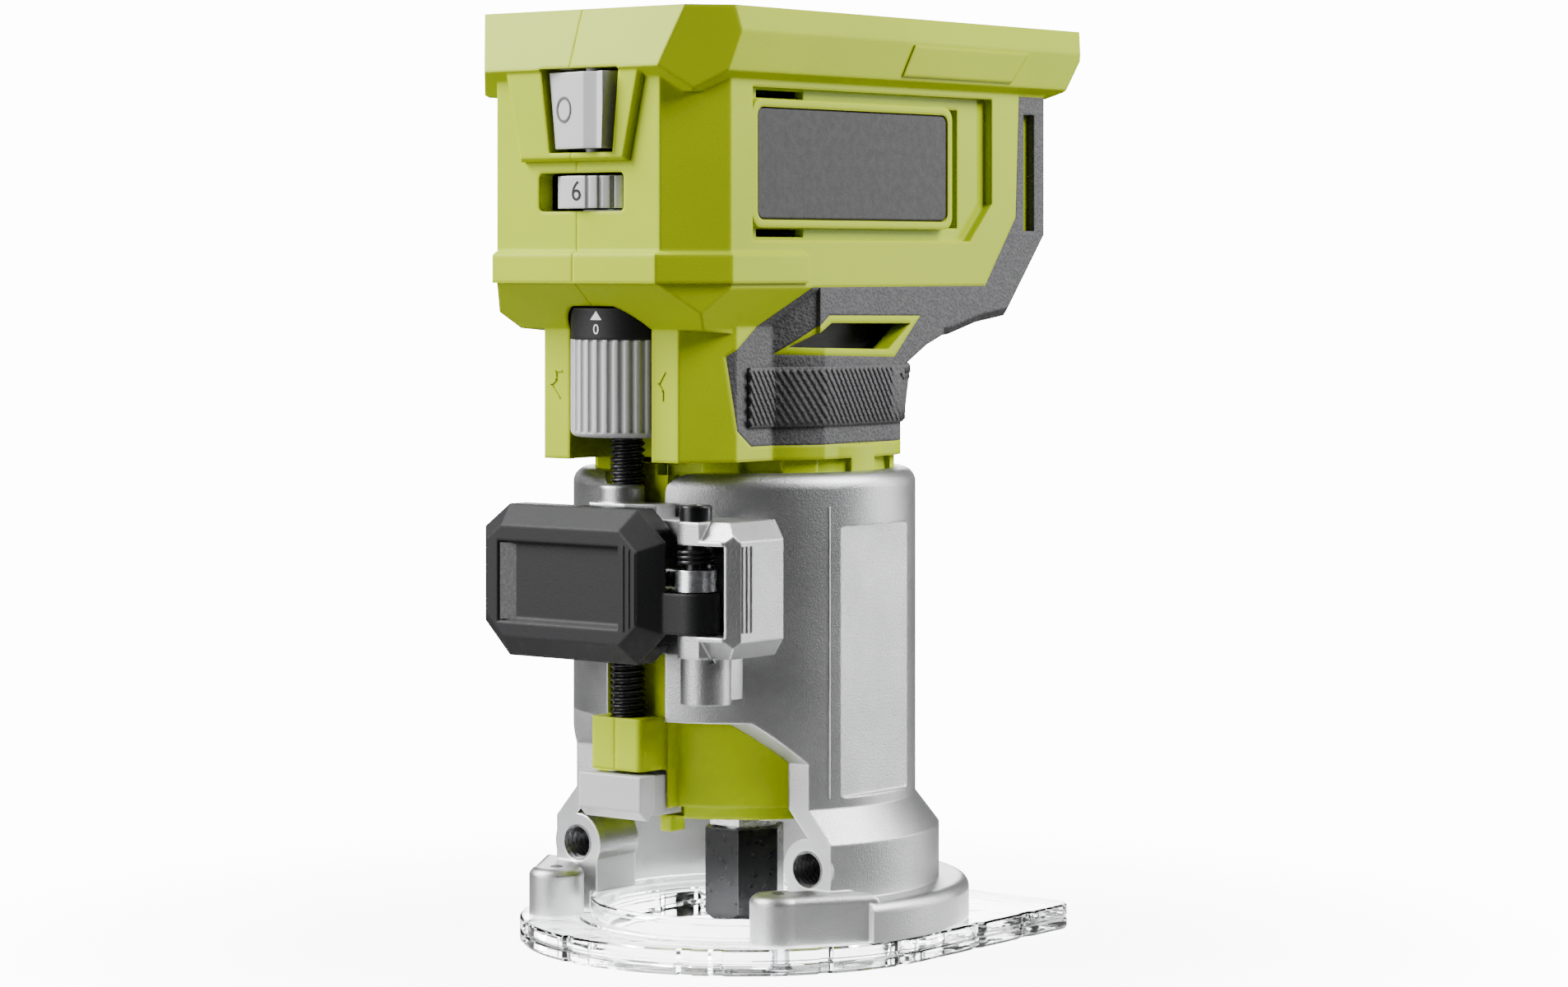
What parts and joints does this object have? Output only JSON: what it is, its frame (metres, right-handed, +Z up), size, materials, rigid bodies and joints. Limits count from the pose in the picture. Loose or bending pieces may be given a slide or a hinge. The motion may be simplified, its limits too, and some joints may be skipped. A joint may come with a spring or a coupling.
{
  "type": "trim router",
  "caption": "Cordless trim router: cast base with clear sub-base, cam lever clamp, depth screw and a sliding motor unit with battery socket.",
  "frame": {"origin": "centre of the round opening in the clear sub-base, at its lower face, on the spindle axis", "axes": "+Z up along the spindle axis; -Y is the front with the switch, depth knob and clamp lever; +X is the tool's side with the lever pin"},
  "size_m": [0.105, 0.1503, 0.2145],
  "materials": {
    "clear_plastic": "clear polycarbonate",
    "cast_aluminium": "fine cast",
    "zinc_steel": "zinc plated",
    "zinc_alloy": "satin",
    "black_steel": "black oxide",
    "black_plastic": "fine moulded texture",
    "grey_plastic": "light grey moulded",
    "lime_plastic": "satin moulded",
    "grey_rubber": "fine grained",
    "badge_grey": "satin",
    "circuit_board": "solder mask",
    "brass": "machined",
    "bearing_steel": "ground",
    "magnet": "ferrite"
  },
  "bodies": {
    "base": {"base_casting": "cast_aluminium", "sub_base": "clear_plastic", "sub_base_screws": "zinc_steel", "lever_pin": "black_steel", "tie_rod": "zinc_steel", "tie_rod_nut": "zinc_steel", "lever_spring": "zinc_steel", "depth_nut": "zinc_alloy"},
    "lever": {"clamp_lever": "black_plastic"},
    "motor_unit": {"housing_left": "lime_plastic", "housing_right": "lime_plastic", "grip_left": "grey_rubber", "grip_right": "grey_rubber", "badge_left": "badge_grey", "badge_right": "badge_grey", "housing_bolts": "black_steel", "switch_body": "black_plastic", "speed_control": "circuit_board", "terminal_block": "black_plastic", "battery_contacts": "brass", "control_board": "circuit_board", "led_lenses": "clear_plastic", "lower_bearing": "bearing_steel", "upper_bearing": "bearing_steel", "motor_can": "bearing_steel", "magnets": "magnet", "brush_holder": "black_plastic"},
    "spindle_set": {"spindle": "bearing_steel", "armature": "bearing_steel", "commutator": "brass", "fan": "black_plastic", "collet": "bearing_steel", "collet_nut": "black_steel"},
    "depth_adjuster": {"depth_screw": "black_steel", "depth_knob": "grey_plastic"},
    "scale": {"scale_ring": "black_plastic"},
    "rocker": {"switch_rocker": "grey_plastic"},
    "dial": {"speed_dial": "grey_plastic"},
    "lock": {"lock_button": "grey_plastic", "lock_spring": "zinc_steel"}
  },
  "joints": [
    {"name": "depth_slide", "type": "slide", "parent": "base", "child": "motor_unit", "axis": [0, 0, 1], "range_m": [-0.0025, 0.035]},
    {"name": "knob_turn", "type": "hinge", "parent": "motor_unit", "child": "depth_adjuster", "pos_m": [0, -0.042, 0.13], "axis": [0, 0, 1], "range_deg": [-601, 8401]},
    {"name": "scale_turn", "type": "hinge", "parent": "depth_adjuster", "child": "scale", "pos_m": [0, -0.042, 0.144], "axis": [0, 0, 1], "continuous": true},
    {"name": "lever_swing", "type": "hinge", "parent": "base", "child": "lever", "pos_m": [0.0265, -0.05, 0.086], "axis": [0, 0, 1], "range_deg": [0, 90]},
    {"name": "spindle_spin", "type": "hinge", "parent": "motor_unit", "child": "spindle_set", "pos_m": [0, 0, 0.08], "axis": [0, 0, 1], "continuous": true},
    {"name": "rocker_press", "type": "hinge", "parent": "motor_unit", "child": "rocker", "pos_m": [0.0025, -0.057, 0.192], "axis": [0, 0, 1], "range_deg": [0, 12]},
    {"name": "dial_turn", "type": "hinge", "parent": "motor_unit", "child": "dial", "pos_m": [0.0014, -0.047, 0.1737], "axis": [0, 0, 1], "range_deg": [-250, 0]},
    {"name": "lock_press", "type": "slide", "parent": "motor_unit", "child": "lock", "axis": [0, 1, 0], "range_m": [0, 0.003], "stiffness_N_per_m": 400, "springref_m": -0.001}
  ],
  "couplings": [
    {"joint": "knob_turn", "follows": "depth_slide", "rad_per_m": 4188.8}
  ]
}
